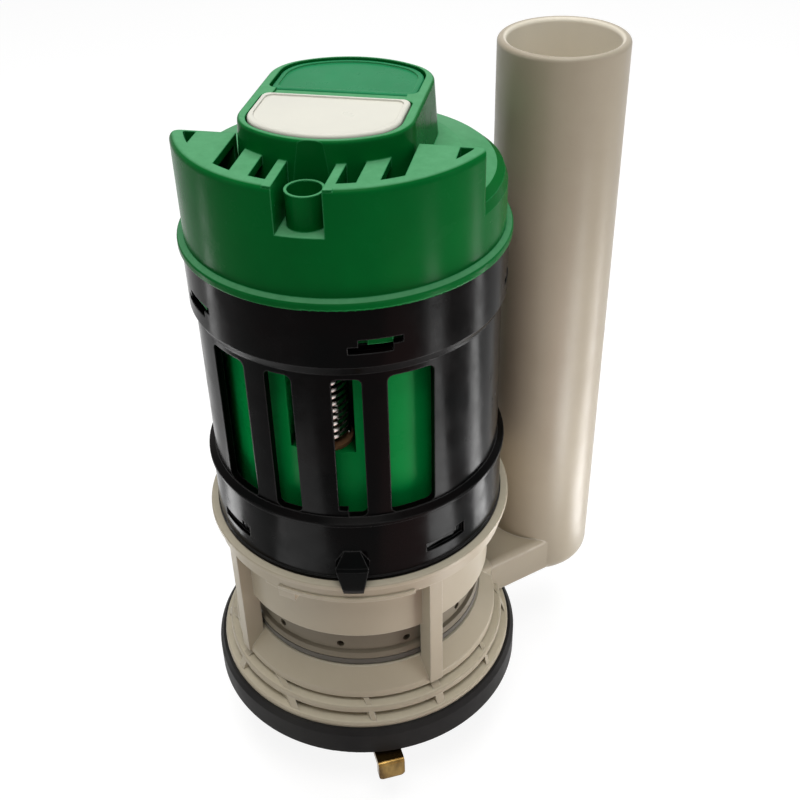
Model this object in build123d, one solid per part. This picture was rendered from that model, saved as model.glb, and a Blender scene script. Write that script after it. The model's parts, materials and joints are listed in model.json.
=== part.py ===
from build123d import *
import os
from math import asin, cos, degrees, radians, sin

# Dual-flush toilet flush valve. Millimetres, +Z up.
# Origin: on the valve axis, in the mouth of the outlet bore, 8 mm below the base flange.
# The half-flush button and the notch of the cap face -Y.
# A bearing is an angle from -Y towards +X, seen from above.

# Outlet tail, gasket and coupling hardware
tail_r = 29.5
tail_bore_r = 25.5
spigot_r = 28.6
spigot_top_z = -16.0
tail_bottom_z = -26.0
gasket_out = 2.1
gasket_low_z = -2.2
flange_low_z = 8.0
gasket_bevel = 1.6
gasket_lip = 1.2
plate_gap = 0.3
plate_t = 2.4
plate_ring_w = 7.5
hook_bearing = 27.0
hook_shift = -6.4
hook_reach = 53.9
hook_w = 8.4
hook_drop = 7.4
hook_corner = 1.6
nut_wall = 6.0
nut_h = 10.0
nut_grip_r = 3.0
nut_grips = 8
thread_gap = 0.15

# Cap wall and the steps from it to the radii of cage and base
cap_r = 43.2
cap_wall = 2.3
cap_lip_out = 1.8
cage_collar_out = 0.8
cage_collar_wall = 2.0
cage_inset = 1.4
cage_wall = 2.2
band_out = 1.3
ridge_out = 0.7
band_foot_out = 0.3
socket_in = 0.6
socket_gap = 0.3
skirt_in = 2.1

# Base body: stepped flange, seat, skirt and collar
base_turn = 42.3
deck_ring_out = 3.0
fin_step = 2.5
flange_step = 2.3
groove_depth = 3.0
flange_t = 1.8
low_groove_out = 2.0
ring_edge = 0.8
fin_low_z = 12.4
fin_t = 2.2
deck_ring_low_z = 16.5
deck_ring_t = 2.6
seat_z = 25.6
seat_overlap = 7.0
seat_lip_w = 2.8
seat_lip_h = 0.7
seat_mouth_h = 3.0
deck_play = 0.4
throat_low_z = 1.0
throat_r = 24.9
throat_z = 13.2
rib_t = 1.5
rib_spacing = 21.5
rib_far = 40.2
rib_inset = 0.9
pillar_rib_w = 2.8
skirt_wall = 1.7
skirt_low_z = 40.9
socket_wall = 1.5
bead_out = 2.9
bead_h = 1.7
bead_edge = 0.5
ledge_out = 0.6
ledge_h = 1.3
ledge_bearings = (-19.0, 33.0)
collar_low_z = 60.4
collar_top_z = 67.2
collar_shelf_z = 62.0
pillar_w = 4.4
pillar_out = 4.1
pillar_in = 1.6
tab_bearing = -24.5
tab_w = 5.4
tab_drop = 3.3
tab_out = 2.7
guide_hub_r = 6.5
guide_hub_top_z = 13.0
spider_t = 2.2
spider_h = 9.0

# Overflow tube and its duct
tube_distance = 71.1
tube_r = 18.6
tube_wall = 2.7
tube_top_z = 195.1
tube_bottom_z = 10.5
tube_foot_r = 8.5
duct_half_w = 17.0
duct_low_z = 10.8
duct_top_z = 24.4
duct_wall = 2.5
duct_edge = 2.4
duct_joint_in = 0.8
duct_mouth_out = 8.0

# Cartridge cage
cage_turn = -0.5
band_top_z = 88.0
band_foot_h = 1.1
ridge_h = 2.2
cage_collar_z = 140.4
cage_collar_rise = 2.8
cage_top_z = 157.0
window_low_z = 90.4
window_top_z = 136.0
window_corner = 1.8
narrow_window_w = 7.8
narrow_window_bearing = 12.3
wide_window_w = 13.0
wide_window_bearing = 35.4
window_stop_w = 2.6
window_stop_h = 2.0
cage_ledge_t = 1.6
cage_ledge_w = 2.7
lock_slot_bearing = 22.3
lock_slot_w = 11.4
lock_slot_low_z = 144.4
lock_slot_h = 4.0
lock_slot_step = 1.3
lock_slots = 5
lock_slot_play = 2.5
lock_lug_in = 1.0
base_slot_bearing = 47.6
base_slot_w = 13.0
base_slot_low_z = 73.2
base_slot_h = 3.0
base_slot_depth = 1.2
base_notch_w = 3.4
base_notch_h = 1.4
vent_mark_bearing = 80.0
vent_mark_r = 0.55
vent_mark_z = (107.3, 109.6)
latch_bearing = 10.5
latch_top_z = 78.6
latch_wide_z = 74.9
latch_low_z = 63.6
latch_top_w = 4.6
latch_wide_w = 9.4
latch_low_w = 5.2
latch_stand = 3.8

# Cap with platform and button tower
cap_gap = 0.2
cap_lip_h = 2.8
cap_lip_edge = 0.6
cap_skirt_gap = 0.3
cap_skirt_wall = 1.9
cap_skirt_low_z = 146.2
deck_edge_z = 171.5
deck_shoulder_z = 175.8
deck_slope_z = 178.6
deck_top_z = 179.2
deck_t = 2.0
deck_edge_in = 0.9
deck_edge_h = 2.6
deck_shoulder_in = 3.0
deck_slope_w = 12.0
platform_z = 188.1
platform_t = 2.2
platform_edge = 1.6
horn_tip = 2.4
chord_y = -14.1
crest_in = 3.6
plate_edges = (23.1, 18.0, 12.8, 8.3)
horn_slot_x = (33.2, 36.5)
horn_slot_rim = 0.6
notch_half_w = 6.0
notch_floor_z = 176.0
notch_wall = 2.3
cup_in = 7.5
cup_r = 4.9
cup_bore_r = 4.2
cup_top_z = 185.0
cup_depth = 7.0
tower_rim = 2.45
tower_nose_rim = 1.2
tower_draft = 1.2
tower_corner = 13.0
tower_top_z = 193.7
tower_low_z = 174.5
tower_edge = 0.9
nose_groove_w = 9.6
nose_groove_depth = 0.45
web_top_z = 193.0
web_low_z = 181.0

# Buttons
button_half_w = 19.1
button_r = 27.1
button_corner = 10.0
button_heel_corner = 2.2
button_gap = 0.45
button_t = 1.8
button_skirt = 9.0
button_skirt_wall = 1.5
button_border = 1.4
button_recess = 0.4
half_button_edge = 0.9
full_button_edge = 0.6
half_button_edge_y = -1.8
half_button_top_z = 194.4
full_button_edge_y = 3.5
full_button_top_z = 193.2

# Rockers, lift travel and their carrier
lift_travel = 10.0
pivot_z = 168.0
pivot_y = 15.5
press_arm = 7.3
full_lift_arm = 11.0
half_lift_arm = 7.5
nose_r = 1.5
contact_gap = 0.3
arm_t = 1.8
hub_r = 3.3
pin_r = 1.5
pin_running_gap = 0.05
pin_seat_gap = 0.02
rocker_w = 15.0
press_arm_w = 6.0
full_prong_x = 6.5
half_prong_x = 3.5
prong_w = 2.4
stem_half_w = 3.0
stem_near = 5.7
stem_far = 8.6
carrier_low_z = 144.0
carrier_t = 2.0
carrier_gap = 0.2
cheek_x = 8.2
cheek_t = 2.4
cheek_half_y = 19.5
cheek_over_pin = 3.6
spring_x = 14.4
spring_y = 12.0
spring_shelf_low_z = 168.0
spring_shelf_t = 2.0
spring_shelf_half = 3.0
button_spring_r = 2.5
button_spring_wire_r = 0.25
button_spring_turns = 8

# Lift rod, float, plunger and float spring
rod_r = 4.0
rod_running_gap = 0.08
rod_top_over_collar = 0.3
lift_collar_half_x = 8.0
lift_collar_front_y = -3.6
lift_collar_back_y = 6.3
lift_collar_t = 1.8
float_gap = 3.0
float_wall = 1.6
float_low_z = 76.0
float_top_z = 133.6
pocket_half_w = 9.0
pocket_depth = 14.9
pocket_floor_z = 108.8
float_sleeve_r = 6.2
vent_y = -8.0
vent_rod_r = 1.4
vent_hole_r = 1.5
vent_plug_r = 2.6
vent_plug_h = 2.0
vent_guide_gap = 0.3
vent_collar_half_x = 4.6
vent_collar_half_y = 1.6
vent_collar_t = 1.5
spring_seat_r = 6.9
spring_seat_t = 1.2
float_spring_in = 6.8
float_spring_r = 5.6
float_spring_wire_r = 0.65
float_spring_turns = 15
guide_pin_r = 3.9
guide_pin_low_z = 122.0
clip_r = 7.5
clip_t = 1.6
seal_gap = 0.1
seal_t = 2.0
seal_play = 0.8
seal_in_r = 24.0
plunger_disc_t = 2.2
plunger_inset = 1.6
plunger_wall = 1.6
plunger_top_z = 44.0
plunger_hub_r = 7.5
plunger_ribs = 6
drain_holes = 11
drain_hole_r = 1.15
drain_hole_z = 32.6
drain_hole_turn = 1.0
retainer_in = 3.0
retainer_t = 1.6
stem_r = 3.0
stem_low_z = 1.5

# Worked out from the values above
cap_low_z = cage_top_z + cap_gap
cap_lip_r = cap_r + cap_lip_out
cage_collar_r = cap_r + cage_collar_out
cap_skirt_r = cage_collar_r - cage_collar_wall - cap_skirt_gap
cage_r = cage_collar_r - cage_inset
band_r = cage_r + band_out
ridge_r = band_r + ridge_out
spigot_band_r = band_r - socket_in
collar_in_r = spigot_band_r + socket_gap
collar_r = collar_in_r + bead_out
collar_wall_r = collar_in_r + socket_wall
skirt_r = cage_r - skirt_in
float_r = cage_r - cage_wall - float_gap
pocket_back_y = pocket_depth - float_r
float_spring_y = float_spring_in - float_r
seal_r = skirt_r - skirt_wall - seal_play
plunger_wall_r = seal_r - plunger_inset
seat_mouth_r = seal_r - seat_overlap
retainer_r = seat_mouth_r - retainer_in
pillar_r = skirt_r + pillar_out
deck_ring_r = skirt_r + deck_ring_out
fin_r = deck_ring_r + fin_step
flange_r = fin_r + flange_step
gasket_r = flange_r + gasket_out
groove_r = deck_ring_r - groove_depth
low_groove_r = groove_r + low_groove_out
flange_top_z = flange_low_z + flange_t
deck_ring_top_z = deck_ring_low_z + deck_ring_t
lip_low_z = seat_z - seat_lip_h
plate_top_z = gasket_low_z - plate_gap
plate_low_z = plate_top_z - plate_t
plate_ring_r = tail_r + plate_ring_w
nut_r = tail_r + nut_wall
duct_joint = flange_r - duct_joint_in
duct_bearing = base_turn + 90
tube_x = tube_distance * sin(radians(duct_bearing))
tube_y = -tube_distance * cos(radians(duct_bearing))
crest_r = cap_r - crest_in
cup_y = cup_in - cap_r
tower_half_w = button_half_w + button_gap + tower_rim
tower_r = button_r + button_gap + tower_nose_rim
swing = asin(lift_travel / (2 * full_lift_arm))
carrier_top_z = carrier_low_z + carrier_t
seal_low_z = seat_z + seal_gap
seal_top_z = seal_low_z + seal_t
disc_top_z = seal_top_z + plunger_disc_t
rod_low_z = disc_top_z
spring_low_z = pocket_floor_z + spring_seat_t
stem_low_rest_z = pivot_z + press_arm * sin(swing) + nose_r + contact_gap
lift_collar_low_z = pivot_z - full_lift_arm * sin(swing) + nose_r + contact_gap
vent_collar_low_z = pivot_z - half_lift_arm * sin(swing) + nose_r + contact_gap
BOTTOM = (Align.CENTER, Align.CENTER, Align.MIN)


def disc(r, low_z, top_z, x=0.0, y=0.0):
    return Pos(x, y, low_z) * Cylinder(r, top_z - low_z, align=BOTTOM)


def ring(r_out, r_in, low_z, top_z, x=0.0, y=0.0):
    return disc(r_out, low_z, top_z, x, y) - disc(r_in, low_z - 1, top_z + 1, x, y)


def block(x0, x1, y0, y1, z0, z1):
    size = Box(x1 - x0, y1 - y0, z1 - z0, align=(Align.MIN, Align.MIN, Align.MIN))
    return Pos(x0, y0, z0) * size


def spun(outline):
    """Turn a closed outline of (radius, height, corner radius if any) about the axis."""
    points = [(corner[0], 0, corner[1]) for corner in outline]
    radii = [corner[2] if len(corner) > 2 else 0 for corner in outline]
    wire = FilletPolyline(*points, radius=radii, close=True)
    return revolve(make_face(wire), axis=Axis.Z)


def outward(bearing, height, distance=0.0):
    """Plane facing away from the axis, its own y pointing up."""
    a = radians(bearing)
    away = Vector(sin(a), -cos(a), 0)
    origin = away * distance + Vector(0, 0, height)
    return Plane(origin=origin, x_dir=(cos(a), sin(a), 0), z_dir=away)


def radial_block(bearing, width, r0, r1, z0, z1, shift=0.0):
    """Block whose long side points along a bearing, moved sideways by shift."""
    face = outward(bearing, (z0 + z1) / 2, r0) * Pos(shift, 0, 0) * Rectangle(width, z1 - z0)
    return extrude(face, r1 - r0)


def window(bearing, width, z0, z1, corner, r0, r1):
    face = outward(bearing, (z0 + z1) / 2, r0) * RectangleRounded(width, z1 - z0, corner)
    return extrude(face, r1 - r0)


def coil(r, wire_r, low_z, top_z, turns, x, y):
    """Helical spring whose wire just fits between two heights."""
    rise = top_z - low_z - 2 * wire_r
    path = Helix(rise / turns, rise, r)
    start = Plane(origin=path @ 0, z_dir=path % 0)
    return Pos(x, y, low_z + wire_r) * sweep(start * Circle(wire_r), path)


def lying_rod(r, x0, x1, y, z):
    """Cylinder along X."""
    return Pos(x0, y, z) * Rot(0, 90, 0) * Cylinder(r, x1 - x0, align=BOTTOM)


def arc_band(r_in, r_out, z0, z1, bearings):
    """Part of a ring between two bearings."""
    section = Plane.XZ * Pos((r_in + r_out) / 2, (z0 + z1) / 2) * Rectangle(r_out - r_in, z1 - z0)
    band = revolve(section, axis=Axis.Z, revolution_arc=bearings[1] - bearings[0])
    return Rot(0, 0, bearings[0] - 90) * band


def base_profile():
    lip_out = seat_mouth_r + seat_lip_w
    return [
        (tail_bore_r, tail_bottom_z),
        (spigot_r, tail_bottom_z),
        (spigot_r, spigot_top_z),
        (tail_r, spigot_top_z + tail_r - spigot_r),
        (tail_r, flange_low_z),
        (flange_r, flange_low_z),
        (flange_r, flange_top_z, ring_edge),
        (low_groove_r, flange_top_z),
        (low_groove_r, fin_low_z),
        (fin_r, fin_low_z),
        (fin_r, fin_low_z + fin_t, ring_edge),
        (groove_r, fin_low_z + fin_t),
        (groove_r, deck_ring_low_z),
        (deck_ring_r, deck_ring_low_z),
        (deck_ring_r, deck_ring_top_z, ring_edge),
        (seal_r + deck_play, lip_low_z),
        (lip_out, lip_low_z),
        (lip_out, seat_z),
        (seat_mouth_r, seat_z),
        (seat_mouth_r, seat_z - seat_mouth_h),
        (throat_r, throat_z),
        (throat_r, throat_low_z),
        (tail_bore_r, throat_low_z),
    ]


def collar_profile():
    inner = skirt_r - skirt_wall
    bead_low_z = collar_top_z - bead_h
    return [
        (inner, skirt_low_z),
        (skirt_r, skirt_low_z),
        (skirt_r, collar_low_z, bead_edge),
        (collar_wall_r, collar_low_z, bead_edge),
        (collar_wall_r, bead_low_z, bead_edge),
        (collar_r, bead_low_z, bead_edge),
        (collar_r, collar_top_z, bead_edge),
        (collar_in_r, collar_top_z),
        (collar_in_r, collar_shelf_z),
        (inner, collar_shelf_z),
    ]


def flange_ribs():
    """Upright ribs across the grooves, parallel to one pull direction, and one under each pillar."""
    top = deck_ring_low_z + rib_inset
    envelope = spun([
        (groove_r - rib_inset, flange_low_z + rib_inset),
        (flange_r - rib_inset, flange_low_z + rib_inset),
        (flange_r - rib_inset, flange_top_z),
        (fin_r - rib_inset, fin_low_z + fin_t),
        (deck_ring_r - rib_inset, deck_ring_low_z),
        (deck_ring_r - rib_inset, top),
        (groove_r - rib_inset, top),
    ])
    plates = Part()
    for shift in (-rib_far, -rib_spacing, rib_spacing, rib_far):
        for bearing in (base_turn, base_turn + 180):
            plates += radial_block(bearing, rib_t, 1.0, flange_r, flange_low_z, deck_ring_top_z, shift)
    for index in range(4):
        bearing = base_turn + 90 * index
        plates += radial_block(bearing, pillar_rib_w, tail_r, flange_r, flange_low_z, deck_ring_top_z)
    return plates & envelope


def duct_block(r0, r1, inset, corner):
    """Length of the duct towards the overflow tube, its upper edges rounded."""
    low = duct_low_z + inset
    top = duct_top_z - inset
    section = Rectangle(2 * (duct_half_w - inset), top - low)
    section = fillet(section.vertices().group_by(Axis.Y)[-1], corner)
    return extrude(outward(duct_bearing, (low + top) / 2, r0) * section, r1 - r0)


def guide_spider():
    bore_r = stem_r + rod_running_gap
    hub = ring(guide_hub_r, bore_r, guide_hub_top_z - spider_h - 2, guide_hub_top_z)
    for index in range(3):
        bearing = base_turn + 120 * index
        low = guide_hub_top_z - spider_h
        hub += radial_block(bearing, spider_t, guide_hub_r - 1, tail_bore_r + 1, low, low + spider_h)
    return hub


def base_body():
    body = spun(base_profile()) + spun(collar_profile()) + flange_ribs()
    for index in range(4):
        bearing = base_turn + 90 * index
        low = deck_ring_top_z - deck_ring_t / 2
        top = collar_low_z + pillar_in / 2
        body += radial_block(bearing, pillar_w, skirt_r - pillar_in, pillar_r, low, top)
    body += duct_block(seat_mouth_r, duct_joint, 0, duct_edge)
    body += guide_spider()
    body -= duct_block(guide_hub_r + duct_mouth_out, duct_joint + 1, duct_wall, duct_wall / 2)
    top = collar_low_z + tab_out / 4
    tab_r = skirt_r + tab_out
    body += radial_block(tab_bearing, tab_w, skirt_r - skirt_wall / 2, tab_r, collar_low_z - tab_drop, top)
    ledge_r = collar_wall_r + ledge_out
    return body + arc_band(skirt_r + 1, ledge_r, collar_low_z, collar_low_z + ledge_h, ledge_bearings)


def overflow_tube():
    outer = disc(tube_r, tube_bottom_z, tube_top_z, tube_x, tube_y)
    outer = fillet(outer.edges().group_by(Axis.Z)[0], tube_foot_r)
    outer = fillet(outer.edges().group_by(Axis.Z)[-1], tube_wall / 3)
    outer += duct_block(duct_joint, tube_distance, 0, duct_edge)
    bore = disc(tube_r - tube_wall, tube_bottom_z + tube_wall, tube_top_z + 1, tube_x, tube_y)
    bore = fillet(bore.edges().group_by(Axis.Z)[0], tube_foot_r - tube_wall)
    return outer - bore - duct_block(duct_joint - 1, tube_distance, duct_wall, duct_wall / 2)


def base_gasket():
    inner = tail_r + thread_gap
    return spun([
        (inner, gasket_low_z),
        (gasket_r, gasket_low_z, gasket_bevel / 2),
        (gasket_r, flange_low_z - gasket_bevel, gasket_bevel / 2),
        (gasket_r - gasket_lip, flange_low_z),
        (inner, flange_low_z),
    ])


def plate_hook():
    """Strip that runs out under the gasket along -Y and turns down at its end."""
    outline = Plane.YZ * Polyline(
        (-tail_r - plate_ring_w / 2, plate_low_z),
        (plate_t - hook_reach, plate_low_z),
        (plate_t - hook_reach, plate_top_z - hook_drop),
        (-hook_reach, plate_top_z - hook_drop),
        (-hook_reach, plate_top_z),
        (-tail_r - plate_ring_w / 2, plate_top_z),
        close=True,
    )
    strip = Pos(hook_shift, 0, 0) * extrude(make_face(outline), hook_w / 2, both=True)
    strip = fillet(strip.edges().filter_by(Axis.Y).group_by(Axis.Z)[0], hook_corner)
    return fillet(strip.edges().filter_by(Axis.X).group_by(Axis.Y)[0].group_by(Axis.Z)[-1], plate_t / 2)


def coupling_plate():
    body = ring(plate_ring_r, tail_r + thread_gap, plate_low_z, plate_top_z)
    for bearing in (hook_bearing, hook_bearing + 180):
        body += Rot(0, 0, bearing) * plate_hook()
    return body


def back_nut():
    top = plate_low_z - contact_gap
    low = top - nut_h
    body = disc(nut_r, low, top)
    for index in range(nut_grips):
        a = radians(360 * index / nut_grips)
        reach = nut_r + nut_grip_r * 0.45
        body -= disc(nut_grip_r, low - 1, top - 2, reach * cos(a), reach * sin(a))
    return body - disc(tail_r + thread_gap, low - 1, top + 1)


def cage_profile():
    inner = cage_r - cage_wall
    collar_in = cage_collar_r - cage_collar_wall
    ledge_r = collar_in - cage_ledge_w
    foot_low_z = collar_top_z + socket_gap
    foot_top_z = foot_low_z + band_foot_h
    foot_r = band_r + band_foot_out
    return [
        (inner, collar_shelf_z),
        (spigot_band_r, collar_shelf_z),
        (spigot_band_r, foot_low_z),
        (foot_r, foot_low_z),
        (foot_r, foot_top_z),
        (band_r, foot_top_z + band_foot_out),
        (band_r - band_foot_out, band_top_z - band_foot_out),
        (ridge_r, band_top_z, ridge_out / 2),
        (ridge_r, band_top_z + ridge_h / 2, ridge_out / 2),
        (cage_r, band_top_z + ridge_h),
        (cage_r, cage_collar_z - cage_collar_rise),
        (cage_collar_r, cage_collar_z),
        (cage_collar_r, cage_top_z),
        (collar_in, cage_top_z),
        (collar_in, carrier_low_z),
        (ledge_r, carrier_low_z),
        (ledge_r, carrier_low_z - cage_ledge_t),
        (inner, carrier_low_z - cage_ledge_t - cage_collar_wall),
    ]


def latch():
    """Spring tongue on the lower band, hooked over the base collar."""
    face = outward(latch_bearing, 0)
    outline = Polyline(
        (-latch_top_w / 2, latch_top_z),
        (-latch_wide_w / 2, latch_wide_z),
        (-latch_low_w / 2, latch_low_z),
        (latch_low_w / 2, latch_low_z),
        (latch_wide_w / 2, latch_wide_z),
        (latch_top_w / 2, latch_top_z),
        close=True,
    )
    tongue = extrude(face * make_face(outline), band_r + latch_stand)
    tongue -= disc(band_r - 1.0, latch_low_z - 1, latch_top_z + 1)
    tongue -= ring(collar_r + 0.25, 1.0, latch_low_z - 1, collar_top_z + 0.3)
    hood = band_r + latch_stand
    cover = spun([
        (1, latch_low_z - 1),
        (hood - 1.2, latch_low_z - 1),
        (hood, latch_wide_z - 1.0),
        (hood - 0.4, latch_wide_z + 0.2),
        (band_r, latch_top_z),
        (1, latch_top_z),
    ])
    return tongue & cover


def cage_windows(reach):
    """Two narrow and two wide windows, front and back, the front ones with a stop at the foot."""
    cut = Part()
    for side in (0, 180):
        for bearing, width in (
            (-wide_window_bearing, wide_window_w),
            (-narrow_window_bearing, narrow_window_w),
            (narrow_window_bearing, narrow_window_w),
            (wide_window_bearing, wide_window_w),
        ):
            at = side + bearing + cage_turn
            cut += window(at, width, window_low_z, window_top_z, window_corner, *reach)
    at = narrow_window_bearing + cage_turn
    shift = (window_stop_w - narrow_window_w) / 2
    top = window_low_z + window_stop_h
    return cut - radial_block(at, window_stop_w, *reach, window_low_z - 1, top, shift)


def cage():
    body = spun(cage_profile())
    reach = (cage_r - cage_wall - 3, cage_collar_r + 3)
    body -= cage_windows(reach)
    half_h = lock_slot_h / 2
    middle = lock_slot_low_z + half_h
    for index in range(lock_slots):
        at = lock_slot_bearing + 360 * index / lock_slots
        body -= radial_block(at, lock_slot_w, *reach, lock_slot_low_z, middle, -lock_slot_step)
        body -= radial_block(at, lock_slot_w, *reach, middle, middle + half_h, lock_slot_step)
    inner = band_r - base_slot_depth
    top = base_slot_low_z + base_slot_h
    for index in range(4):
        at = base_slot_bearing + 90 * index
        body -= radial_block(at, base_slot_w, inner, band_r + 2, base_slot_low_z, top)
        body -= radial_block(at + 7, base_notch_w, inner, band_r + 2, base_slot_low_z, top + base_notch_h)
    for height in vent_mark_z:
        hole = outward(vent_mark_bearing, height, reach[0]) * Circle(vent_mark_r)
        body -= extrude(hole, reach[1] - reach[0])
    return body + latch()


def tower_plan(r, half_w, corner):
    plan = Circle(r) & Rectangle(2 * half_w, 4 * r)
    return fillet(plan.vertices(), corner)


def button_plan(edge_y, grow=0.0):
    """Half of the tower's plan, on the far side of its straight edge."""
    reach = button_r + grow
    side = button_half_w + grow
    near = edge_y - grow if edge_y > 0 else edge_y + grow
    far = 2 * reach if edge_y > 0 else -2 * reach
    plan = Circle(reach) & Pos(0, (near + far) / 2) * Rectangle(2 * side, abs(far - near))
    corners = plan.vertices().sort_by(lambda v: abs(v.Y - near))
    plan = fillet(corners[2:], button_corner)
    heel = [v for v in plan.vertices() if abs(v.Y - near) < 0.01]
    return fillet(heel, button_heel_corner)


def crescent(r, y, low_z, top_z, tip=0.0):
    """Front part of a disc, cut off at y, its two tips rounded in plan."""
    plan = Circle(r) & Pos(0, y - r) * Rectangle(2 * r, 2 * r)
    if tip:
        plan = fillet(plan.vertices(), tip)
    return Pos(0, 0, low_z) * extrude(plan, top_z - low_z)


def platform_block():
    """Raised front of the cap with a rounded outer edge."""
    block_body = crescent(cap_r, chord_y, cap_low_z, platform_z)
    rim = block_body.edges().group_by(Axis.Z)[-1].filter_by(GeomType.CIRCLE)
    rounded = fillet(rim, platform_edge)
    return rounded & crescent(cap_r, chord_y, cap_low_z, platform_z, horn_tip)


def tower_block():
    """Button tower, drafted so that it widens towards the deck."""
    sections = []
    for height, grow in ((tower_low_z, tower_draft), (tower_top_z, 0.0)):
        plan = tower_plan(tower_r + grow, tower_half_w + grow, tower_corner + grow)
        sections.append(Pos(0, 0, height) * plan)
    body = loft(sections, ruled=True)
    body = fillet(body.edges().group_by(Axis.Z)[-1], tower_edge)
    sagitta = nose_groove_w**2 / 8 / tower_r + nose_groove_depth
    groove_r = (nose_groove_w**2 / 4 + sagitta**2) / (2 * sagitta)
    groove_y = nose_groove_depth - tower_r - groove_r
    return body - disc(groove_r, tower_low_z - 1, tower_top_z + 1, 0, groove_y)


def cap_dome(inset, low_z):
    wall = cap_r - inset
    return spun([
        (0, low_z),
        (wall, low_z),
        (wall, deck_edge_z - inset / 2),
        (wall - deck_edge_in, deck_edge_z + deck_edge_h - inset),
        (wall - deck_shoulder_in, deck_shoulder_z - inset),
        (wall - deck_slope_w, deck_slope_z - inset),
        (0, deck_top_z - inset),
    ])


def platform_slots():
    """Slots of the platform, mirrored about the notch."""
    cut = Part()
    low = tower_low_z
    top = platform_z + 1
    outer = disc(crest_r, low, top)
    for sign in (-1, 1):
        for near, far in ((plate_edges[1], plate_edges[0]), (plate_edges[3], plate_edges[2])):
            x0, x1 = sorted((sign * near, sign * far))
            cut += block(x0, x1, -crest_r, chord_y, low, top) & outer
        x0, x1 = sorted(sign * x for x in horn_slot_x)
        cut += block(x0, x1, -crest_r, chord_y - horn_slot_rim, low, top) & outer
    return cut


def cap_lock_lugs():
    """Lugs of the cap's skirt in the upper halves of the cage's slots."""
    lugs = Part()
    low = lock_slot_low_z + lock_slot_h / 2
    top = lock_slot_low_z + lock_slot_h - contact_gap
    width = lock_slot_w - 2 * lock_slot_play
    for index in range(lock_slots):
        at = lock_slot_bearing + 360 * index / lock_slots
        inner = cap_skirt_r - cap_skirt_wall / 2
        lugs += radial_block(at, width, inner, cage_collar_r - lock_lug_in, low, top, lock_slot_step)
    return lugs


def cap_lip():
    return spun([
        (cap_r - cap_wall / 2, cap_low_z),
        (cap_lip_r, cap_low_z, cap_lip_edge),
        (cap_lip_r, cap_low_z + cap_lip_h - cap_lip_edge, cap_lip_edge),
        (cap_r, cap_low_z + cap_lip_h),
        (cap_r - cap_wall / 2, cap_low_z + cap_lip_h),
    ])


def cap_notch(body):
    """Cut the front notch, give it a floor and stand the socket in it."""
    side = notch_half_w + notch_wall
    floor_low = notch_floor_z - deck_t
    pocket = block(-side, side, -cap_r, -tower_r + 2, floor_low, platform_z)
    body += pocket & disc(cap_r - contact_gap, floor_low, platform_z)
    body += tower_block()
    gap = block(-notch_half_w, notch_half_w, -cap_r - 2, 0, notch_floor_z, platform_z + 1)
    body -= gap - tower_block()
    cup = disc(cup_r, notch_floor_z - 1, cup_top_z, 0, cup_y)
    return body + cup - disc(cup_bore_r, cup_top_z - cup_depth, cup_top_z + 1, 0, cup_y)


def cap():
    wall_in = cap_r - cap_wall
    body = cap_dome(0, cap_low_z) + platform_block()
    hollow = cap_dome(deck_t, cap_low_z - 1)
    room = crescent(wall_in, chord_y - platform_t, cap_low_z - 1, platform_z - platform_t)
    body -= hollow + room
    body -= platform_slots()
    body = cap_notch(body)
    low = tower_low_z - 8
    top = tower_top_z + button_skirt
    for edge_y in (half_button_edge_y, full_button_edge_y):
        body -= Pos(0, 0, low) * extrude(button_plan(edge_y, button_gap), top - low)
    web_y = (half_button_edge_y + button_gap, full_button_edge_y - button_gap)
    half_w = button_half_w - 2
    body -= block(-half_w, half_w, *web_y, low, web_low_z)
    body -= block(-half_w, half_w, *web_y, web_top_z, top)
    skirt = ring(cap_skirt_r, cap_skirt_r - cap_skirt_wall, cap_skirt_low_z, cap_low_z + 2)
    return body + cap_lip() + skirt + cap_lock_lugs()


def button(edge_y, top_z, edge):
    """Hollow cap with a raised border and a stem that presses its rocker."""
    outer = button_plan(edge_y)
    body = Pos(0, 0, top_z - button_skirt) * extrude(outer, button_skirt)
    body = fillet(body.edges().group_by(Axis.Z)[-1], edge)
    inner = button_plan(edge_y, -button_skirt_wall)
    low = top_z - button_skirt - 1
    body -= Pos(0, 0, low) * extrude(inner, button_skirt + 1 - button_t - button_recess)
    panel = button_plan(edge_y, -button_border)
    body -= Pos(0, 0, top_z - button_recess) * extrude(panel, 2)
    sign = 1 if edge_y > 0 else -1
    y0, y1 = sorted((sign * (pivot_y + stem_near), sign * (pivot_y + stem_far)))
    return body + block(-stem_half_w, stem_half_w, y0, y1, stem_low_rest_z, top_z - button_t)


def rocker(sign, lift_arm, prong_x):
    """Two-armed lever at rest: press arm up, forked lift arm down."""
    y = sign * pivot_y
    hub = lying_rod(hub_r, -rocker_w / 2, rocker_w / 2, y, pivot_z)
    half = arm_t / 2
    width = press_arm_w / 2
    tip_y = y + sign * press_arm
    y0, y1 = sorted((y, tip_y))
    lever = hub + block(-width, width, y0, y1, pivot_z - half, pivot_z + half)
    lever += lying_rod(nose_r, -width, width, tip_y, pivot_z)
    fork_y = y - sign * lift_arm
    y0, y1 = sorted((y, fork_y))
    for side in (-1, 1):
        x0 = side * prong_x - prong_w / 2
        lever += block(x0, x0 + prong_w, y0, y1, pivot_z - half, pivot_z + half)
        lever += lying_rod(nose_r, x0, x0 + prong_w, fork_y, pivot_z)
    lever -= lying_rod(pin_r + pin_running_gap, -rocker_w, rocker_w, y, pivot_z)
    pivot = Axis((0, y, pivot_z), (1, 0, 0))
    return lever.rotate(pivot, sign * degrees(swing))


def pivot_pin(sign):
    reach = cheek_x + cheek_t + 0.4
    return lying_rod(pin_r, -reach, reach, sign * pivot_y, pivot_z)


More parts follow.
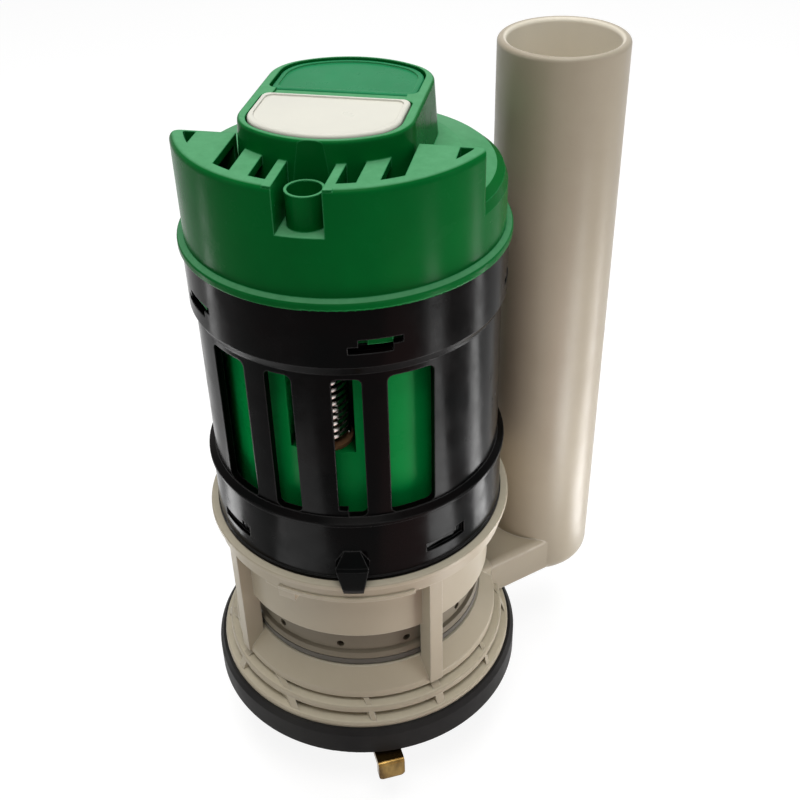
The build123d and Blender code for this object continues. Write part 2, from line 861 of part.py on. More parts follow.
def lever_carrier():
    """Top plate of the cartridge with the two cheeks that hold the pivots."""
    plate_r = cage_collar_r - cage_collar_wall - carrier_gap
    top = carrier_top_z
    body = disc(plate_r, carrier_low_z, top)
    pin_top = pivot_z + cheek_over_pin
    for side in (-1, 1):
        x0, x1 = sorted((side * cheek_x, side * (cheek_x + cheek_t)))
        cheek = block(x0, x1, -cheek_half_y, cheek_half_y, top, pin_top)
        cheek -= block(x0 - 1, x1 + 1, -8, 8, top + 6, pin_top + 1)
        shelf_x = side * spring_x
        x0, x1 = sorted((side * cheek_x, shelf_x + side * spring_shelf_half))
        y = side * spring_y
        low = spring_shelf_low_z
        shelf = block(x0, x1, y - spring_shelf_half, y + spring_shelf_half, low, low + spring_shelf_t)
        body += cheek + shelf
    for sign in (-1, 1):
        hole_r = pin_r + pin_seat_gap
        body -= lying_rod(hole_r, -2 * cheek_x, 2 * cheek_x, sign * pivot_y, pivot_z)
    vent_bore_r = vent_plug_r + vent_guide_gap
    body += disc(rod_r + 2.2, top, top + 4) + disc(vent_bore_r + 1.5, top, top + 3, 0, vent_y)
    body -= disc(rod_r + rod_running_gap, carrier_low_z - 1, top + 5)
    body -= disc(vent_bore_r, carrier_low_z - 1, top + 5, 0, vent_y)
    body -= disc(guide_pin_r - 1.4 + pin_seat_gap, carrier_low_z - 1, top + 1, 0, float_spring_y)
    return body


def button_spring(side, edge_y, top_z):
    low = spring_shelf_low_z + spring_shelf_t
    top = top_z - button_t - button_recess
    x = side * spring_x
    y = side * spring_y
    return coil(button_spring_r, button_spring_wire_r, low, top, button_spring_turns, x, y)


def lift_rod():
    low = lift_collar_low_z
    body = disc(rod_r, rod_low_z, low + lift_collar_t + rod_top_over_collar)
    y0, y1 = lift_collar_front_y, lift_collar_back_y
    half = lift_collar_half_x
    return body + block(-half, half, y0, y1, low, low + lift_collar_t)


def float_body():
    """Air float, closed on top, with a pocket in front for its spring."""
    wall = float_wall
    body = disc(float_r, float_low_z, float_top_z)
    reach = 2 * float_r
    half = pocket_half_w
    pocket = block(-half, half, -reach, pocket_back_y, pocket_floor_z, float_top_z + 1)
    keep = block(-half - wall, half + wall, -reach, pocket_back_y + wall, pocket_floor_z - wall, float_top_z)
    room = disc(float_r - wall, float_low_z - 1, float_top_z - wall) - keep
    room -= disc(float_sleeve_r, float_low_z - 1, float_top_z)
    body -= room + pocket
    body -= disc(rod_r + pin_seat_gap, float_low_z - 1, float_top_z + 1)
    return body - disc(vent_hole_r, float_top_z - 2 * wall, float_top_z + 1, 0, vent_y)


def vent_rod():
    top = vent_collar_low_z + vent_collar_t
    body = disc(vent_rod_r, float_top_z + vent_plug_h, top, 0, vent_y)
    body += disc(vent_plug_r, float_top_z + seal_gap, float_top_z + vent_plug_h, 0, vent_y)
    half_x = vent_collar_half_x
    half_y = vent_collar_half_y
    return body + block(-half_x, half_x, vent_y - half_y, vent_y + half_y, vent_collar_low_z, top)


def spring_seat():
    top = pocket_floor_z + spring_seat_t
    return ring(spring_seat_r, spring_seat_r - 2.8, pocket_floor_z, top, 0, float_spring_y)


def float_spring():
    y = float_spring_y
    return coil(float_spring_r, float_spring_wire_r, spring_low_z, carrier_low_z, float_spring_turns, 0, y)


def spring_guide_pin():
    y = float_spring_y
    return disc(guide_pin_r, guide_pin_low_z, carrier_low_z, 0, y) + disc(
        guide_pin_r - 1.4, carrier_low_z - 1, carrier_top_z, 0, y
    )


def rod_clip():
    return ring(clip_r, rod_r + pin_seat_gap, float_low_z - clip_t, float_low_z)


def plunger():
    body = spun([
        (plunger_hub_r, seal_top_z),
        (seal_r - 0.2, seal_top_z),
        (seal_r, seal_top_z + 0.8),
        (seal_r - 0.5, disc_top_z),
        (plunger_wall_r, disc_top_z + 0.4),
        (plunger_wall_r, plunger_top_z),
        (plunger_wall_r - plunger_wall, plunger_top_z),
        (plunger_wall_r - plunger_wall, disc_top_z),
        (plunger_hub_r, disc_top_z),
    ])
    body += disc(plunger_hub_r + 0.5, seal_top_z, disc_top_z)
    body += ring(plunger_hub_r, rod_r + pin_seat_gap, disc_top_z, plunger_top_z - 4)
    for index in range(plunger_ribs):
        at = 360 * (index + 0.5) / plunger_ribs
        top = plunger_top_z - 8
        body += radial_block(at, 1.6, plunger_hub_r - 1, plunger_wall_r - 1, disc_top_z - 0.5, top)
    for index in range(drain_holes):
        at = drain_hole_turn + 360 * index / drain_holes
        hole = outward(at, drain_hole_z, plunger_wall_r - 4) * Circle(drain_hole_r)
        body -= extrude(hole, 6)
    return body


def plunger_seal():
    return ring(seal_r, seal_in_r + pin_seat_gap, seal_low_z, seal_top_z)


def seal_retainer():
    low = seal_low_z - retainer_t
    body = disc(retainer_r, low, seal_low_z) + disc(seal_in_r, low, seal_top_z)
    return body + disc(stem_r, stem_low_z, low + 1)


def write(name, shape):
    export_step(shape, os.path.join("parts", name + ".step"))


def main():
    os.makedirs("parts", exist_ok=True)
    write("base_body", base_body())
    write("overflow_tube", overflow_tube())
    write("base_gasket", base_gasket())
    write("coupling_plate", coupling_plate())
    write("back_nut", back_nut())
    write("cartridge_cage", cage())
    write("cap", cap())
    write("lever_carrier", lever_carrier())
    write("full_pivot_pin", pivot_pin(1))
    write("half_pivot_pin", pivot_pin(-1))
    write("full_button", button(full_button_edge_y, full_button_top_z, full_button_edge))
    write("half_button", button(half_button_edge_y, half_button_top_z, half_button_edge))
    write("full_button_spring", button_spring(1, full_button_edge_y, full_button_top_z))
    write("half_button_spring", button_spring(-1, half_button_edge_y, half_button_top_z))
    write("full_rocker", rocker(1, full_lift_arm, full_prong_x))
    write("half_rocker", rocker(-1, half_lift_arm, half_prong_x))
    write("lift_rod", lift_rod())
    write("float", float_body())
    write("rod_clip", rod_clip())
    write("vent_rod", vent_rod())
    write("float_spring", float_spring())
    write("spring_seat", spring_seat())
    write("spring_guide_pin", spring_guide_pin())
    write("plunger", plunger())
    write("plunger_seal", plunger_seal())
    write("seal_retainer", seal_retainer())


main()
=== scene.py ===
import json
from math import cos, pi, radians, sin, sqrt
import bpy
from mathutils import Matrix, Vector


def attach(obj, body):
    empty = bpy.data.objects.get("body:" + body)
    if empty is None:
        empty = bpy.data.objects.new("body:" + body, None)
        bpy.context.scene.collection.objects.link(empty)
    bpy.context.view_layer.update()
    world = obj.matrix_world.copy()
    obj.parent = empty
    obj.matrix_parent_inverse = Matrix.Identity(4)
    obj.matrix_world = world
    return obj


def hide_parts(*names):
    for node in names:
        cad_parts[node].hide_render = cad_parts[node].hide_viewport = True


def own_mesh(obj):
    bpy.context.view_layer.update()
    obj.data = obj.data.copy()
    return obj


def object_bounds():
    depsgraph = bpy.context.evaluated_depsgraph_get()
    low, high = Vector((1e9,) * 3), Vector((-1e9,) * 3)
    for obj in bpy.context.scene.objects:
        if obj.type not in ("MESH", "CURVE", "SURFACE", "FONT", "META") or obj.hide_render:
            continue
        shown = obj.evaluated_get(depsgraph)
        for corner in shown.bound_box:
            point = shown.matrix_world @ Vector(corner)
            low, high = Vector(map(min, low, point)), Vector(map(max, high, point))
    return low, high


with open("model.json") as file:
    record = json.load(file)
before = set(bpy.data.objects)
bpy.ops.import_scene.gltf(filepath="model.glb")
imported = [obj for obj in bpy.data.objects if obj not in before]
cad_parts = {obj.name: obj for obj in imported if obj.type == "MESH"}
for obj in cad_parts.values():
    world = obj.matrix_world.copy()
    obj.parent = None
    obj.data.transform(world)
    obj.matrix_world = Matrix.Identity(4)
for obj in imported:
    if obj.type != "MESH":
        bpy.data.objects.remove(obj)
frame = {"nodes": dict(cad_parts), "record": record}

cad_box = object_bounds()
floor_z = cad_box[0][2]
white = (1.0, 1.0, 1.0)

# Camera, fitted to the photograph: places in metres, lens and sensor in millimetres
camera_at = Vector((0.07119, -0.27065, 0.30078))
camera_right = Vector((0.98105, 0.19253, -0.02164))
camera_up = Vector((-0.09567, 0.57854, 0.81001))
camera_lens = 51.82
camera_sensor = 36.0

# Light: soft lamps aimed at the object's middle, strips on the floor around it, and the surroundings
lamp_aim = (0.0, 0.0, 0.11)
strip_start = 0.13
strip_lift = 0.002
world_fill = 0.085
world_seen = 1.0

# Floor: half its width in metres, what it bounces, and the glow and shade of what is seen of it
floor_half = 6.0
floor_bounce = 0.50
floor_glow = 0.88
floor_shade = 0.25

# Overflow tube, in metres and degrees, with the bearing counted from the front
tube_bearing = 132.3
tube_distance = 0.0711
tube_r = 0.01859
tube_wall = 0.0027
tube_top_z = 0.1951
tube_bottom_z = 0.0070
tube_foot_r = 0.0065
rim_steps = 16

# Rings in the tube's wall, in steps from the duct's top
ring_step = 0.0012
ring_places = (-1, 1, 2, 4, 8)

# Duct from the base to the tube: it covers the base's end of it and is rooted in the tube's wall
duct_start = 0.0400
duct_cover = 0.00005
duct_half_w = 0.0170
duct_low_z = 0.0108
duct_top_z = 0.0244
duct_edge = 0.0024
duct_wall = 0.0025
duct_root = 0.0010
duct_overcut = 0.001

# Tab under the collar, left of the latch
tab_bearing = -16.0
tab_half_w = 0.0027
tab_low_z = 0.0571
tab_top_z = 0.0607
tab_root_r = 0.0400
tab_r = 0.0451

# Edges of the pieces made here that turn by more degrees than this are shaded sharp
sharp_angle = 30


def add_camera():
    data = bpy.data.cameras.new("camera")
    data.sensor_width = camera_sensor
    data.lens = camera_lens
    camera = bpy.data.objects.new("camera", data)
    bpy.context.scene.collection.objects.link(camera)
    right = camera_right.normalized()
    up = (camera_up - right * camera_up.dot(right)).normalized()
    back = right.cross(up)
    turn = Matrix((right, up, back)).transposed().to_4x4()
    camera.matrix_world = Matrix.Translation(camera_at) @ turn
    bpy.context.scene.camera = camera


def area_lamp(name, width, length, power, color):
    data = bpy.data.lights.new(name, "AREA")
    data.shape = "RECTANGLE"
    data.size, data.size_y = width, length
    data.energy = power
    data.color = color
    lamp = bpy.data.objects.new(name, data)
    bpy.context.scene.collection.objects.link(lamp)
    return lamp


def add_lamp(name, at, width, length, power, color=white):
    lamp = area_lamp(name, width, length, power, color)
    aim = (Vector(lamp_aim) - Vector(at)).to_track_quat("-Z", "Y")
    lamp.matrix_world = Matrix.Translation(at) @ aim.to_matrix().to_4x4()


def add_floor_strip(name, bearing, width, length, power, color=white):
    """Narrow lamp that lies on the floor, runs away from the object and shines up into its gloss."""
    turn = radians(bearing)
    middle = Vector((sin(turn), -cos(turn), 0.0)) * (strip_start + length / 2)
    middle.z = floor_z + strip_lift
    lamp = area_lamp(name, width, length, power, color)
    lamp.visible_camera = False
    face_up = Matrix.Rotation(pi, 4, "X")
    lamp.matrix_world = Matrix.Translation(middle) @ Matrix.Rotation(turn, 4, "Z") @ face_up


def add_light():
    cool = (0.88, 0.96, 1.0)
    warm = (1.0, 0.98, 0.95)
    red = (1.0, 0.42, 0.40)
    add_lamp("top_lamp", at=(-0.05, 0.20, 0.95), width=0.75, length=0.55, power=5.0)
    add_lamp("front_lamp", at=(0.10, -0.36, 1.00), width=0.50, length=0.35, power=3.7, color=warm)
    add_lamp("right_lamp", at=(0.80, -0.05, 0.50), width=0.30, length=0.60, power=0.95, color=cool)
    add_lamp("left_lamp", at=(-0.75, -0.40, 0.45), width=0.25, length=0.60, power=0.6)
    add_floor_strip("right_glint", bearing=72.0, width=0.060, length=0.28, power=0.66)
    add_floor_strip("rear_glint", bearing=112.0, width=0.040, length=0.34, power=0.42)
    add_floor_strip("left_glint", bearing=-92.0, width=0.050, length=0.34, power=0.32)
    add_floor_strip("low_glint", bearing=-28.0, width=0.100, length=0.10, power=0.13)
    add_floor_strip("warm_glint", bearing=48.0, width=0.120, length=0.28, power=0.12, color=red)


def seen_directly(tree):
    """1 for what the camera sees, straight or by gloss or through glass, and 0 for bounced light."""
    ray = tree.nodes.new("ShaderNodeLightPath")
    seen = ray.outputs["Is Camera Ray"]
    for kind in ("Is Glossy Ray", "Is Transmission Ray"):
        either = tree.nodes.new("ShaderNodeMath")
        either.operation = "MAXIMUM"
        tree.links.new(seen, either.inputs[0])
        tree.links.new(ray.outputs[kind], either.inputs[1])
        seen = either.outputs[0]
    return seen


def add_world():
    """White where it is seen, and a weak fill for everything else."""
    world = bpy.data.worlds.new("studio")
    bpy.context.scene.world = world
    world.use_nodes = True
    tree = world.node_tree
    tree.nodes.clear()
    output = tree.nodes.new("ShaderNodeOutputWorld")
    mix = tree.nodes.new("ShaderNodeMixShader")
    for slot, strength in enumerate((world_fill, world_seen)):
        sky = tree.nodes.new("ShaderNodeBackground")
        sky.inputs["Color"].default_value = (*white, 1.0)
        sky.inputs["Strength"].default_value = strength
        tree.links.new(sky.outputs["Background"], mix.inputs[slot + 1])
    tree.links.new(seen_directly(tree), mix.inputs["Fac"])
    tree.links.new(mix.outputs["Shader"], output.inputs["Surface"])


class Nodes:
    """Short form for a material's node tree."""

    def __init__(self, name):
        self.material = bpy.data.materials.new(name)
        self.material.use_nodes = True
        self.tree = self.material.node_tree
        self.tree.nodes.clear()
        self.output = self.add("ShaderNodeOutputMaterial")

    def add(self, kind, **values):
        node = self.tree.nodes.new(kind)
        for key, value in values.items():
            setattr(node, key, value)
        return node

    def link(self, a, b):
        self.tree.links.new(a, b)

    def feed(self, socket, value):
        """Put a number, a colour or another node's output into a socket."""
        if isinstance(value, bpy.types.NodeSocket):
            self.link(value, socket)
        else:
            socket.default_value = (*value, 1.0) if isinstance(value, tuple) else value

    def noise(self, scale, detail, rough, stretch=(1.0, 1.0, 1.0)):
        place = self.add("ShaderNodeTexCoord")
        size = self.add("ShaderNodeMapping")
        size.inputs["Scale"].default_value = stretch
        noise = self.add("ShaderNodeTexNoise")
        noise.inputs["Scale"].default_value = scale
        noise.inputs["Detail"].default_value = detail
        noise.inputs["Roughness"].default_value = rough
        self.link(place.outputs["Object"], size.inputs["Vector"])
        self.link(size.outputs["Vector"], noise.inputs["Vector"])
        return noise.outputs["Fac"]

    def spread(self, value, low, high, to_low=0.0, to_high=1.0):
        """Map low to high onto to_low to to_high, and hold the value there."""
        node = self.add("ShaderNodeMapRange")
        self.feed(node.inputs["From Min"], low)
        self.feed(node.inputs["From Max"], high)
        self.feed(node.inputs["To Min"], to_low)
        self.feed(node.inputs["To Max"], to_high)
        self.link(value, node.inputs["Value"])
        return node.outputs["Result"]

    def blend(self, share, a, b):
        """Colour a where share is 0 and b where it is 1."""
        node = self.add("ShaderNodeMix", data_type="RGBA")
        share_in, a_in, b_in, color_out = 0, 6, 7, 2
        self.feed(node.inputs[a_in], a)
        self.feed(node.inputs[b_in], b)
        self.link(share, node.inputs[share_in])
        return node.outputs[color_out]

    def times(self, a, b):
        node = self.add("ShaderNodeMath", operation="MULTIPLY")
        self.feed(node.inputs[0], a)
        self.feed(node.inputs[1], b)
        return node.outputs[0]

    def vectors(self, operation, a, b):
        """Put a vector and either another or a fixed one through a vector operation."""
        node = self.add("ShaderNodeVectorMath", operation=operation)
        self.link(a, node.inputs[0])
        if isinstance(b, tuple):
            node.inputs[1].default_value = b
        else:
            self.link(b, node.inputs[1])
        return node.outputs["Value" if operation == "DOT_PRODUCT" else "Vector"]

    def upward(self):
        """1 on faces that look up, 0 on walls."""
        place = self.add("ShaderNodeTexCoord")
        split = self.add("ShaderNodeSeparateXYZ")
        self.link(place.outputs["Normal"], split.inputs["Vector"])
        return self.spread(split.outputs["Z"], low=0.80, high=0.97)

    def edges(self, rounded):
        """1 where the rounded normal leaves the true one, along sharp edges."""
        shape = self.add("ShaderNodeNewGeometry")
        agreement = self.vectors("DOT_PRODUCT", shape.outputs["Normal"], rounded)
        return self.spread(agreement, low=0.995, high=0.90)

    def sunken(self, reach):
        """0 deep in the piece's own recesses, 1 on its open surface."""
        shade = self.add("ShaderNodeAmbientOcclusion", samples=8, only_local=True)
        shade.inputs["Distance"].default_value = reach
        return self.spread(shade.outputs["AO"], low=0.45, high=0.95)

    def bore(self, axis):
        """1 on walls that face an upright axis, as the inside of a tube does."""
        place = self.add("ShaderNodeTexCoord")
        away = self.vectors("SUBTRACT", place.outputs["Object"], (*axis, 0.0))
        level = self.vectors("MULTIPLY", away, (1.0, 1.0, 0.0))
        outward = self.vectors("DOT_PRODUCT", level, place.outputs["Normal"])
        return self.spread(outward, low=-0.002, high=-0.010)

    def rounded(self, radius):
        """Normal that rounds sharp edges off."""
        node = self.add("ShaderNodeBevel", samples=4)
        node.inputs["Radius"].default_value = radius
        return node.outputs["Normal"]

    def bump(self, height, normal, strength, distance):
        node = self.add("ShaderNodeBump")
        node.inputs["Strength"].default_value = strength
        node.inputs["Distance"].default_value = distance
        self.link(height, node.inputs["Height"])
        self.link(normal, node.inputs["Normal"])
        return node.outputs["Normal"]

    def finish(self, shader):
        self.link(shader, self.output.inputs["Surface"])
        return self.material


def plastic(name, color, tint, rough, rough_spread=0.06, specular=0.1, grain=0.02, edge=0.0004,
            top=None, worn_and_lit_edge=None, streaks=0.0, recess_shade_reach=0.0, lit_bore=None):
    """Moulded plastic: flow mottling, handling haze, edges painted lighter for wear and as painted
    highlight, upward faces made rougher and painted lighter as painted top light and sheen with dust,
    painted shade in recesses, and a fine grain.
    """
    n = Nodes(name)
    shader = n.add("ShaderNodeBsdfPrincipled")
    shader.inputs["Specular IOR Level"].default_value = specular
    flow = n.noise(scale=38.0, detail=4.0, rough=0.6)
    base = n.blend(n.spread(flow, low=0.35, high=0.65), color, tint)
    smear = n.noise(scale=120.0, detail=5.0, rough=0.65)
    haze = n.spread(smear, low=0.3, high=0.7, to_low=rough - rough_spread, to_high=rough + rough_spread)
    rounded = n.rounded(edge)
    # Painted light: upward faces get a lighter colour for the top light and sheen on them, varied by dust
    # noise, and are made rougher
    if top:
        dust = n.noise(scale=300.0, detail=6.0, rough=0.7)
        top_light_and_dust = n.times(n.upward(), n.spread(dust, low=0.3, high=0.7, to_low=0.75))
        base = n.blend(top_light_and_dust, base, top)
        haze = n.spread(top_light_and_dust, low=0.0, high=1.0, to_low=haze, to_high=0.5)
    # Painted shade: black blended into the piece's own recesses, where shade falls
    if recess_shade_reach:
        base = n.blend(n.sunken(recess_shade_reach), (0.0, 0.0, 0.0), base)
    if lit_bore:
        base = n.blend(n.bore(tube_axis()), base, lit_bore)
    # Edges painted lighter: partly wear, partly painted highlight where the edges catch light
    if worn_and_lit_edge:
        base = n.blend(n.edges(rounded), base, worn_and_lit_edge)
    n.link(base, shader.inputs["Base Color"])
    n.link(haze, shader.inputs["Roughness"])
    waves = n.noise(scale=60.0, detail=2.0, rough=0.4)
    surface = n.bump(waves, rounded, strength=grain * 4, distance=0.0006)
    if streaks:
        lines = n.noise(scale=160.0, detail=3.0, rough=0.5, stretch=(1.0, 1.0, 0.02))
        surface = n.bump(lines, surface, strength=streaks, distance=0.0004)
    pores = n.noise(scale=900.0, detail=2.0, rough=0.5)
    surface = n.bump(pores, surface, strength=grain, distance=0.0002)
    n.link(surface, shader.inputs["Normal"])
    return n.finish(shader.outputs["BSDF"])


def metal(name, color, tint, rough, scale, stretch=(1.0, 1.0, 1.0), rough_spread=0.08):
    """Drawn or plated metal, stained and streaked where stretch is less than 1."""
    n = Nodes(name)
    shader = n.add("ShaderNodeBsdfPrincipled")
    shader.inputs["Metallic"].default_value = 1.0
    streak = n.noise(scale, detail=4.0, rough=0.6, stretch=stretch)
    base = n.blend(n.spread(streak, low=0.3, high=0.7), color, tint)
    haze = n.spread(streak, low=0.3, high=0.7, to_low=rough - rough_spread, to_high=rough + rough_spread)
    surface = n.bump(streak, n.rounded(0.0005), strength=0.06, distance=0.0003)
    n.link(base, shader.inputs["Base Color"])
    n.link(haze, shader.inputs["Roughness"])
    n.link(surface, shader.inputs["Normal"])
    return n.finish(shader.outputs["BSDF"])


def materials():
    """One finish for each of the record's slots, and for the overflow tube a darker copy of the beige
    plastic, with painted shade on its walls.
    """
    worn_and_lit_green = (0.050, 0.330, 0.120)
    plastics = {
        "beige_plastic": dict(
            color=(0.450, 0.395, 0.297), tint=(0.425, 0.370, 0.275), rough=0.40, specular=0.2,
            grain=0.04, streaks=0.05, top=(0.620, 0.565, 0.440), worn_and_lit_edge=(0.600, 0.555, 0.460),
        ),
        # Painted shade: a darker copy of the beige plastic for the tube's walls, with its bore painted
        # lighter
        "shaded_beige_tube": dict(
            color=(0.395, 0.342, 0.258), tint=(0.370, 0.318, 0.238), rough=0.36, specular=0.3,
            grain=0.04, edge=0.0006, streaks=0.05, worn_and_lit_edge=(0.660, 0.620, 0.540),
            lit_bore=(0.800, 0.740, 0.620),
        ),
        "black_rubber": dict(
            color=(0.030, 0.029, 0.028), tint=(0.021, 0.020, 0.020), rough=0.45, specular=0.03,
        ),
        "gloss_black": dict(
            color=(0.0008, 0.0012, 0.0012), tint=(0.0024, 0.0012, 0.0012), rough=0.20, specular=0.03,
            rough_spread=0.09, grain=0.03, edge=0.0005, worn_and_lit_edge=(0.045, 0.045, 0.045),
        ),
        "green_plastic": dict(
            color=(0.001, 0.138, 0.023), tint=(0.001, 0.118, 0.020), rough=0.24, specular=0.025,
            grain=0.03, edge=0.0005, top=(0.105, 0.345, 0.165), worn_and_lit_edge=worn_and_lit_green,
        ),
        "green_button": dict(
            color=(0.014, 0.225, 0.085), tint=(0.012, 0.190, 0.070), rough=0.30, specular=0.05,
            worn_and_lit_edge=worn_and_lit_green,
        ),
        "white_button": dict(
            color=(0.700, 0.690, 0.610), tint=(0.670, 0.660, 0.590), rough=0.32, specular=0.2,
        ),
        "white_plastic": dict(color=(0.620, 0.610, 0.570), tint=(0.580, 0.570, 0.530), rough=0.40),
        "green_float": dict(
            color=(0.001, 0.300, 0.060), tint=(0.001, 0.260, 0.052), rough=0.30, specular=0.03,
            recess_shade_reach=0.016,
        ),
        "tan_plastic": dict(color=(0.240, 0.130, 0.060), tint=(0.200, 0.100, 0.050), rough=0.45),
        # Painted shade: the plunger's beige plastic coloured about half as bright, for the shade it sits in
        "grey_plastic": dict(
            color=(0.225, 0.195, 0.145), tint=(0.200, 0.172, 0.127), rough=0.45, grain=0.05,
        ),
        "seal_rubber": dict(
            color=(0.115, 0.105, 0.088), tint=(0.090, 0.083, 0.070), rough=0.50, specular=0.15,
        ),
    }
    metals = {
        "yellow_zinc": dict(
            color=(0.310, 0.195, 0.062), tint=(0.090, 0.050, 0.014), rough=0.20, scale=220.0,
            stretch=(1.0, 1.0, 0.4),
        ),
        "steel": dict(
            color=(0.600, 0.600, 0.600), tint=(0.500, 0.500, 0.500), rough=0.30, scale=300.0,
            stretch=(0.1, 1.0, 1.0),
        ),
        "spring_steel": dict(
            color=(0.660, 0.640, 0.600), tint=(0.450, 0.430, 0.410), rough=0.20, scale=500.0,
        ),
    }
    palette = {name: plastic(name, **look) for name, look in plastics.items()}
    palette.update({name: metal(name, **look) for name, look in metals.items()})
    return palette


def white_floor():
    """Floor that is seen as white and darkened where it is in shadow, and bounces less than that."""
    n = Nodes("floor_white")
    matte = n.add("ShaderNodeBsdfDiffuse")
    n.feed(matte.inputs["Color"], (floor_bounce,) * 3)
    shade = n.add("ShaderNodeBsdfDiffuse")
    n.feed(shade.inputs["Color"], (floor_shade,) * 3)
    glow = n.add("ShaderNodeEmission")
    n.feed(glow.inputs["Strength"], floor_glow)
    shown = n.add("ShaderNodeAddShader")
    n.link(shade.outputs["BSDF"], shown.inputs[0])
    n.link(glow.outputs["Emission"], shown.inputs[1])
    mix = n.add("ShaderNodeMixShader")
    n.link(seen_directly(n.tree), mix.inputs["Fac"])
    n.link(matte.outputs["BSDF"], mix.inputs[1])
    n.link(shown.outputs["Shader"], mix.inputs[2])
    return n.finish(mix.outputs["Shader"])


def add_floor():
    half = floor_half
    mesh = bpy.data.meshes.new("floor")
    corners = [(-half, -half, 0), (half, -half, 0), (half, half, 0), (-half, half, 0)]
    mesh.from_pydata(corners, [], [(0, 1, 2, 3)])
    floor = bpy.data.objects.new("floor", mesh)
    floor.location.z = floor_z
    bpy.context.scene.collection.objects.link(floor)
    mesh.materials.append(white_floor())


def solid(name, points, faces):
    mesh = bpy.data.meshes.new(name)
    mesh.from_pydata(points, [], faces)
    mesh.validate()
    piece = bpy.data.objects.new(name, mesh)
    bpy.context.scene.collection.objects.link(piece)
    return piece


def arc(x, z, r, start, end, steps=10):
    """Points of a corner in a (radius, height) outline, angles in degrees from the radius axis."""
    turns = [radians(start + (end - start) * k / steps) for k in range(steps + 1)]
    return [(x + r * cos(a), z + r * sin(a)) for a in turns]


def lathe(name, outline, at, steps=160):
    """Closed solid turned from an outline that starts and ends on the axis."""
    inner = outline[1:-1]
    rows = len(inner)
    points = [(*at, outline[0][1]), (*at, outline[-1][1])]
    poles = len(points)
    for k in range(steps):
        a = 2 * pi * k / steps
        points += [(at[0] + r * cos(a), at[1] + r * sin(a), z) for r, z in inner]
    faces = []
    for k in range(steps):
        this = poles + k * rows
        following = poles + (k + 1) % steps * rows
        faces.append((0, following, this))
        faces.append((1, this + rows - 1, following + rows - 1))
        for row in range(rows - 1):
            faces.append((this + row, following + row, following + row + 1, this + row + 1))
    return solid(name, points, faces)


def beam(name, section, start, end, bearing):
    """Closed bar of an (across, height) section between two distances along a bearing."""
    turn = radians(bearing)
    along = Vector((sin(turn), -cos(turn), 0.0))
    across = Vector((cos(turn), sin(turn), 0.0))
    count = len(section)
    points = [along * d + across * x + Vector((0, 0, z)) for d in (start, end) for x, z in section]
    faces = [tuple(range(count)), tuple(range(2 * count - 1, count - 1, -1))]
    faces += [(k, k + count, (k + 1) % count + count, (k + 1) % count) for k in range(count)]
    return solid(name, points, faces)


def combine(piece, other, operation):
    """Join another solid to a piece, or cut it away, and leave one plain mesh."""
    change = piece.modifiers.new("combine", "BOOLEAN")
    change.operation = operation
    change.solver = "EXACT"
    change.object = other
    shaped = piece.evaluated_get(bpy.context.evaluated_depsgraph_get())
    mesh = bpy.data.meshes.new_from_object(shaped)
    piece.modifiers.clear()
    piece.data = mesh
    bpy.data.objects.remove(other)


def finish_piece(piece, material):
    """Shade and colour a beige piece that is fixed to the valve."""
    piece.data.shade_smooth()
    piece.data.set_sharp_from_angle(angle=radians(sharp_angle))
    piece.data.materials.clear()
    piece.data.materials.append(material)
    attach(piece, "valve")


def tube_axis():
    turn = radians(tube_bearing)
    return tube_distance * sin(turn), -tube_distance * cos(turn)


def duct_section(inset, corner):
    """Outline across the duct, with its two upper corners rounded."""
    half = duct_half_w - inset
    low, top = duct_low_z + inset, duct_top_z - inset
    right = arc(half - corner, top - corner, corner, 0, 90)
    left = arc(corner - half, top - corner, corner, 90, 180)
    return [(half, low)] + right + left + [(-half, low)]


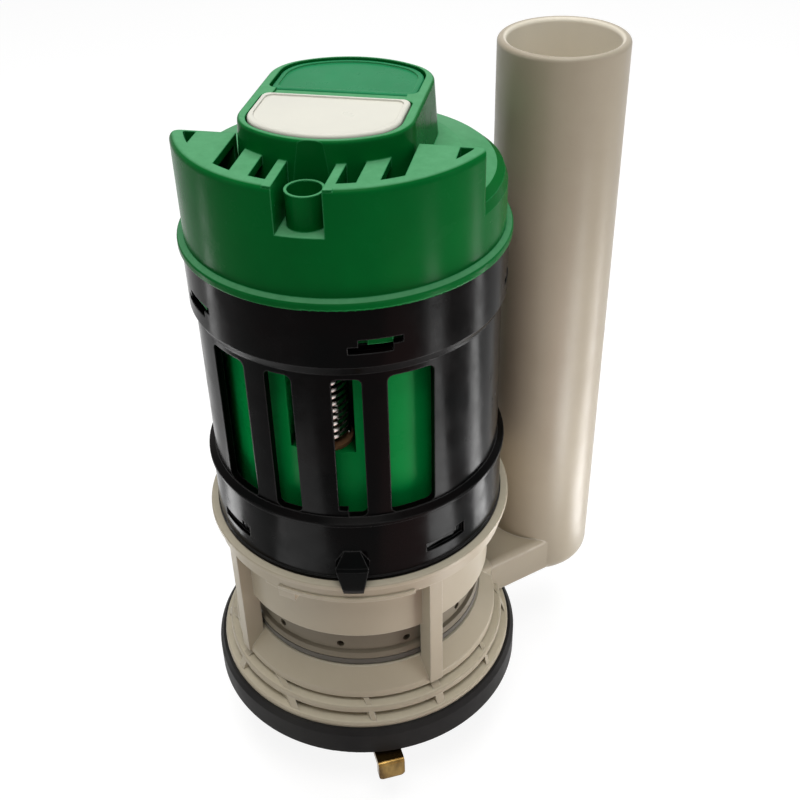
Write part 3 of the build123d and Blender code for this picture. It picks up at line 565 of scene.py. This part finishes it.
def add_overflow_tube(palette):
    """Tube with a round rim and foot, joined to its duct. The rings keep the joint out of the long wall."""
    rim_r = tube_wall / 2
    foot_x = tube_r - tube_foot_r
    foot_z = tube_bottom_z + tube_foot_r
    outline = [(0.0, tube_bottom_z)]
    outline += arc(foot_x, foot_z, tube_foot_r, -90, 0)
    outline += [(tube_r, duct_top_z + ring_step * k) for k in ring_places]
    outline += arc(tube_r - rim_r, tube_top_z - rim_r, rim_r, 0, 180, rim_steps)
    outline += arc(foot_x, foot_z, tube_foot_r - tube_wall, 0, -90)
    outline += [(0.0, tube_bottom_z + tube_wall)]
    tube = lathe("overflow_tube_form", outline, tube_axis())

    duct_end = tube_distance - sqrt(tube_r ** 2 - duct_half_w ** 2) + duct_root
    section = duct_section(-duct_cover, duct_edge)
    combine(tube, beam("duct", section, duct_start, duct_end, tube_bearing), "UNION")

    hollow_start = duct_start - duct_overcut
    section = duct_section(duct_wall, duct_wall / 2)
    hollow = beam("duct_hollow", section, hollow_start, tube_distance, tube_bearing)
    combine(tube, hollow, "DIFFERENCE")

    finish_piece(tube, palette["shaded_beige_tube"])
    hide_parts("overflow_tube")


def add_collar_tab(palette):
    """Small tab rooted in the skirt and the collar's underside."""
    low, top = tab_low_z, tab_top_z
    section = [(-tab_half_w, low), (tab_half_w, low), (tab_half_w, top), (-tab_half_w, top)]
    tab = beam("collar_tab", section, tab_root_r, tab_r, tab_bearing)
    finish_piece(tab, palette["beige_plastic"])


def add_springs(palette):
    """Springs copied in spring steel and fixed to the valve in place of the solids they hide; the joints
    and ends listed with them are not used.
    """
    low_end, top_end = 0, 1
    for node_name, joint_name, end in (
        ("float_spring", "plunger_lift", top_end),
        ("full_button_spring", "full_press", low_end),
        ("half_button_spring", "half_press", low_end),
    ):
        node = frame["nodes"][node_name]
        coil = bpy.data.objects.new(node_name + "_coil", node.data.copy())
        bpy.context.scene.collection.objects.link(coil)
        coil.matrix_world = node.matrix_world.copy()
        coil.data.materials.clear()
        coil.data.materials.append(palette["spring_steel"])
        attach(coil, "valve")
        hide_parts(node_name)
        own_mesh(coil)


def dress_nodes():
    """Give each solid the finish of its slot, and add the pieces made here."""
    palette = materials()
    slots = {entry["node"]: entry["material_slot"] for entry in frame["record"]["subparts"]}
    for name, node in frame["nodes"].items():
        node.data.materials.clear()
        node.data.materials.append(palette[slots[name]])
    add_overflow_tube(palette)
    add_collar_tab(palette)
    add_springs(palette)


add_camera()
add_light()
add_world()
add_floor()
dress_nodes()

bpy.context.scene.view_settings.view_transform = "Standard"
